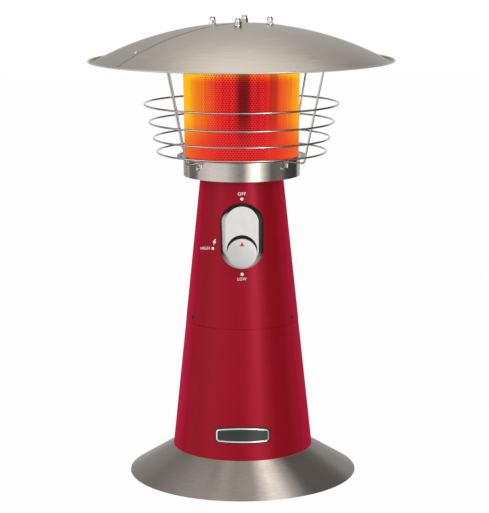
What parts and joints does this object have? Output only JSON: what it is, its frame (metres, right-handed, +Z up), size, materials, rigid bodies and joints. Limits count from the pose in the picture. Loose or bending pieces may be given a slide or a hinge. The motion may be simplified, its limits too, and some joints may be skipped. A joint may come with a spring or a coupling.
{
  "type": "portable propane heater",
  "caption": "Tabletop propane heater with a red tapered housing, steel foot, chrome valve knob, guarded glowing emitter and shallow domed reflector.",
  "frame": {"origin": "on the ground under the centre of the foot", "axes": "+Z up the heater's axis, -Y to the front where the knob is, +X to the viewer's right"},
  "size_m": [0.391, 0.391, 0.593],
  "materials": {
    "stainless": "brushed",
    "wire_steel": "satin",
    "zinc_steel": "satin",
    "cast_zinc": "satin",
    "brass": "satin",
    "red_paint": "satin",
    "dark_screw": "satin",
    "chrome": "polished",
    "nameplate_dark": "satin",
    "pointer_red": "gloss",
    "emitter_steel": "matte",
    "rubber_black": "matte",
    "plastic_black": "matte",
    "ceramic_white": "gloss"
  },
  "bodies": {
    "base": {"base_shell": "stainless", "base_plate": "zinc_steel", "support_drum": "zinc_steel", "seat_ring": "zinc_steel", "cylinder_ring": "zinc_steel", "foot_pads": "rubber_black", "base_screws": "zinc_steel", "seat_rivets": "zinc_steel"},
    "heater": {"collar_pan": "stainless", "collar_flange": "stainless", "reflector_panel_left": "stainless", "reflector_panel_right": "stainless", "reflector_spacers": "stainless", "reflector_studs": "stainless", "reflector_washers": "stainless", "acorn_nuts": "stainless", "seam_rivets": "stainless", "emitter_cap": "stainless", "collar_screws": "stainless", "guard_legs": "wire_steel", "guard_ring_1": "wire_steel", "guard_ring_2": "wire_steel", "guard_ring_3": "wire_steel", "guard_ring_4": "wire_steel", "guard_top_ring": "wire_steel", "pan_rivets": "zinc_steel", "regulator_bracket": "zinc_steel", "valve_bracket": "zinc_steel", "bracket_screws": "zinc_steel", "regulator_cap": "zinc_steel", "regulator_spring": "zinc_steel", "tilt_switch_frame": "zinc_steel", "spark_electrode": "zinc_steel", "burner_head": "zinc_steel", "burner_screen": "zinc_steel", "venturi_tube": "zinc_steel", "regulator_body": "cast_zinc", "gas_pipe": "brass", "valve_body": "brass", "valve_nut": "brass", "jet_pipe": "brass", "orifice_jet": "brass", "thermocouple": "brass", "lower_housing": "red_paint", "upper_housing": "red_paint", "housing_screws": "dark_screw", "knob_bezel": "chrome", "nameplate_rim": "chrome", "nameplate_insert": "nameplate_dark", "emitter_screen": "emitter_steel", "regulator_diaphragm": "rubber_black", "ignition_lead": "rubber_black", "piezo_igniter": "plastic_black", "electrode_insulator": "ceramic_white"},
    "valve_plug": {"valve_plug": "brass"},
    "knob": {"knob": "chrome", "knob_pointer": "pointer_red", "knob_stem": "zinc_steel", "knob_return_spring": "zinc_steel"},
    "tilt_pendulum": {"tilt_pendulum": "zinc_steel"}
  },
  "joints": [
    {"name": "heater_lift", "type": "slide", "parent": "base", "child": "heater", "axis": [0, 0, 1], "range_m": [0, 0.25]},
    {"name": "knob_turn", "type": "hinge", "parent": "heater", "child": "valve_plug", "pos_m": [0, -0.03, 0.304], "axis": [0, -1, 0], "range_deg": [0, 180]},
    {"name": "knob_push", "type": "slide", "parent": "valve_plug", "child": "knob", "axis": [0, 1, 0], "range_m": [0, 0.0035], "stiffness_N_per_m": 1200, "springref_m": -0.003, "deforming": ["knob_return_spring"]},
    {"name": "tilt_swing", "type": "hinge", "parent": "heater", "child": "tilt_pendulum", "pos_m": [-0.048, 0, 0.2385], "axis": [1, 0, 0], "range_deg": [-20, 20]}
  ]
}
